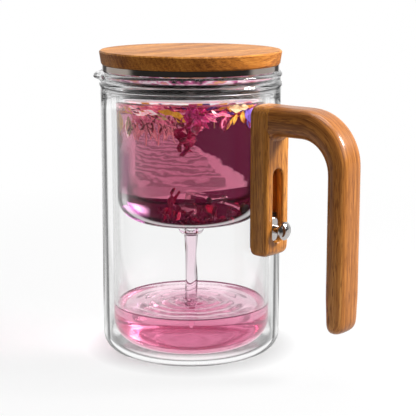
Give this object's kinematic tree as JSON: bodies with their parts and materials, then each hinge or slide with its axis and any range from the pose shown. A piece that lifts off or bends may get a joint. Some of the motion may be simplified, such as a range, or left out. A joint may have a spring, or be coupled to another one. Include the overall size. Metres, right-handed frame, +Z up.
{
  "type": "glass teapot with infuser",
  "caption": "Double-walled glass teapot with a hanging glass infuser, a magnetic slider in the wooden handle that works the drain valve, and a lift-off wooden lid.",
  "frame": {"origin": "centre of the flat base, on the axis of the jug", "axes": "+Z up along the jug's axis, +X through the middle of the handle, -Z out of the base"},
  "size_m": [0.1472, 0.093, 0.1551],
  "materials": {
    "clear_glass": "clear borosilicate, polished",
    "warm_wood": "oiled, satin",
    "polished_steel": "polished",
    "sheet_steel": "fine brushed",
    "magnet_nickel": "black nickel plated",
    "clear_silicone": "milky, matte",
    "shoe_plastic": "moulded",
    "clear_plastic": "water clear, moulded"
  },
  "bodies": {
    "jug": {"jug_outer_wall": "clear_glass", "jug_liner": "clear_glass", "handle_block": "warm_wood", "slot_backing": "warm_wood", "handle_grip": "warm_wood", "handle_dowels": "warm_wood", "bond_pad": "clear_silicone"},
    "slider": {"slider_knob": "polished_steel", "slider_shuttle": "polished_steel", "slider_shoe": "shoe_plastic", "slider_magnet": "magnet_nickel"},
    "infuser": {"infuser_glass": "clear_glass", "drain_strainer": "sheet_steel", "drain_grommet": "clear_silicone", "rocker_bracket": "clear_plastic", "rocker_pin": "polished_steel"},
    "rocker": {"rocker_arm": "clear_plastic", "valve_plug": "clear_silicone", "follower_magnet": "magnet_nickel"},
    "lid": {"lid_wood": "warm_wood", "lid_band": "sheet_steel", "lid_plug": "sheet_steel", "lid_seal": "clear_silicone", "lid_screws": "sheet_steel"}
  },
  "joints": [
    {"name": "knob_slide", "type": "slide", "parent": "jug", "child": "slider", "axis": [0, 0, 1], "range_m": [0, 0.023]},
    {"name": "infuser_lift", "type": "slide", "parent": "jug", "child": "infuser", "axis": [0, 0, 1], "range_m": [0, 0.095]},
    {"name": "rocker_turn", "type": "hinge", "parent": "infuser", "child": "rocker", "pos_m": [0.014, 0, 0.0811], "axis": [0, -1, 0], "range_deg": [0, 10]},
    {"name": "lid_lift", "type": "slide", "parent": "infuser", "child": "lid", "axis": [0, 0, 1], "range_m": [0, 0.04]}
  ],
  "couplings": [
    {"joint": "rocker_turn", "follows": "knob_slide", "rad_per_m": 7.588}
  ]
}
